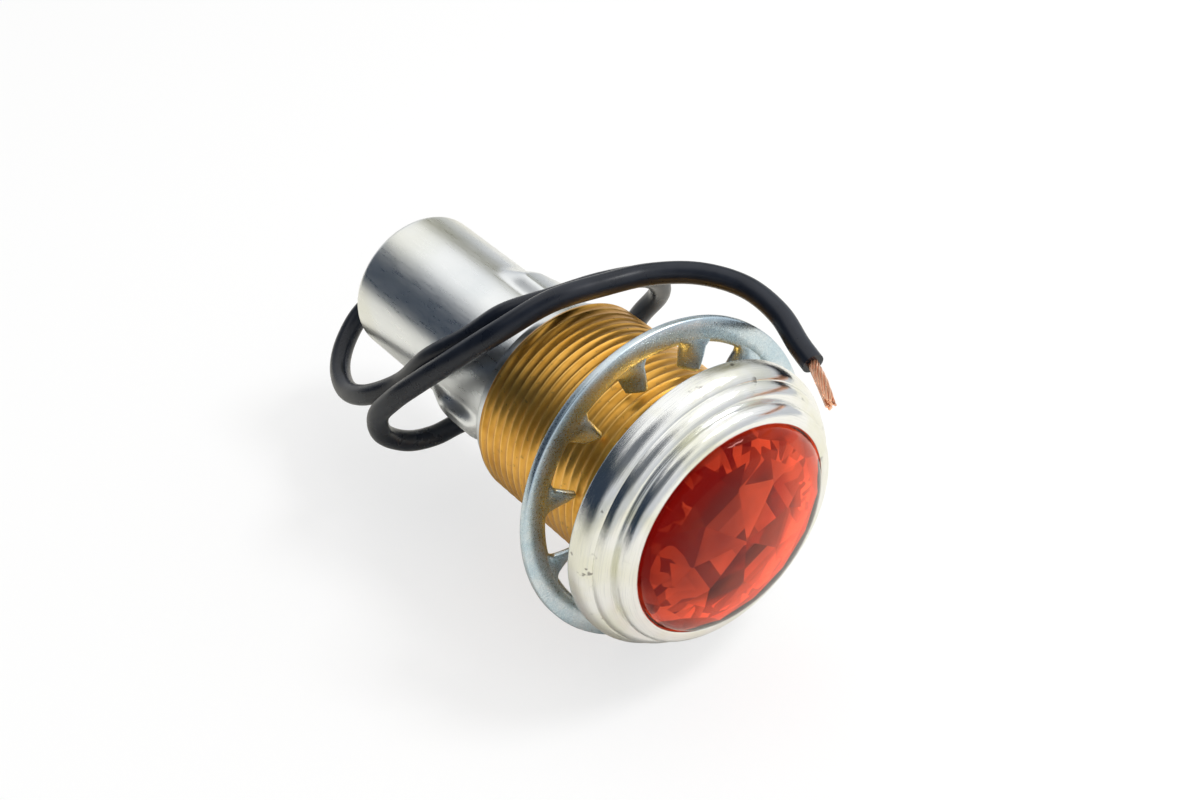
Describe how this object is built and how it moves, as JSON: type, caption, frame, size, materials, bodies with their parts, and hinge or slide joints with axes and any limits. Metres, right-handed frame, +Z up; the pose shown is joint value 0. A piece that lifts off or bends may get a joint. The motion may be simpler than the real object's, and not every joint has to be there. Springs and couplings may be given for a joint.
{
  "type": "panel pilot light",
  "caption": "Panel pilot light: screw bezel with a red jewel lens on a threaded brass barrel, lock washer, sprung bayonet lamp socket and a black lead wire.",
  "frame": {"origin": "middle of the bezel's rear face, where it seats on the panel", "axes": "+Y runs back along the barrel to the socket's rear end, the lens faces -Y, +Z is up"},
  "size_m": [0.0344, 0.0629, 0.0342],
  "materials": {
    "chrome": "bright nickel and chrome plate with fine circumferential brushing",
    "ruby_glass": "transparent red-orange glass, polished dome",
    "gasket_rubber": "matt black rubber",
    "brass": "satin machined brass, lightly tarnished",
    "zinc_plate": "bright bluish zinc plate over stamped spring steel",
    "satin_plate": "satin zinc plate over drawn steel",
    "spring_steel": "bright spring steel",
    "phenolic": "brown laminated phenolic",
    "pvc_black": "soft black PVC insulation with a low sheen",
    "copper_strand": "bare twisted copper strands",
    "clear_glass": "clear blown glass",
    "black_glass": "black fused glass insulator",
    "solder": "dull tin-lead solder",
    "nickel_wire": "nickel wire",
    "tungsten": "coiled tungsten wire"
  },
  "bodies": {
    "housing": {"barrel": "brass", "lock_washer": "zinc_plate", "socket_shell": "satin_plate", "contact_spring": "spring_steel"},
    "bezel_carriage": {"lens_gasket": "gasket_rubber"},
    "bezel": {"bezel": "chrome", "lens": "ruby_glass"},
    "lamp": {"bulb_glass": "clear_glass", "bulb_base": "brass", "bulb_pin_right": "brass", "bulb_pin_left": "brass", "bulb_insulator": "black_glass", "bulb_contact": "solder", "bulb_stem": "clear_glass", "bulb_lead_in_right": "nickel_wire", "bulb_lead_in_left": "nickel_wire", "filament": "tungsten"},
    "contact": {"contact_carrier": "phenolic", "contact_button": "brass", "lead_wire": "pvc_black", "lead_strands": "copper_strand"}
  },
  "joints": [
    {"name": "bezel_travel", "type": "slide", "parent": "housing", "child": "bezel_carriage", "axis": [0, -1, 0], "range_m": [0, 0.0032]},
    {"name": "bezel_turn", "type": "hinge", "parent": "bezel_carriage", "child": "bezel", "pos_m": [0, 0, 0], "axis": [0, -1, 0], "range_deg": [0, 1080]},
    {"name": "lamp_push", "type": "slide", "parent": "housing", "child": "lamp", "axis": [0, 1, 0], "range_m": [0, 0.002], "stiffness_N_per_m": 1200, "springref_m": -0.002},
    {"name": "contact_travel", "type": "slide", "parent": "housing", "child": "contact", "axis": [0, 1, 0], "range_m": [0, 0.002], "stiffness_N_per_m": 600, "springref_m": -0.002, "deforming": ["contact_spring"]}
  ],
  "couplings": [
    {"joint": "bezel_travel", "follows": "bezel_turn", "m_per_rad": 0.0001687},
    {"joint": "contact_travel", "follows": "lamp_push", "ratio": 1}
  ]
}
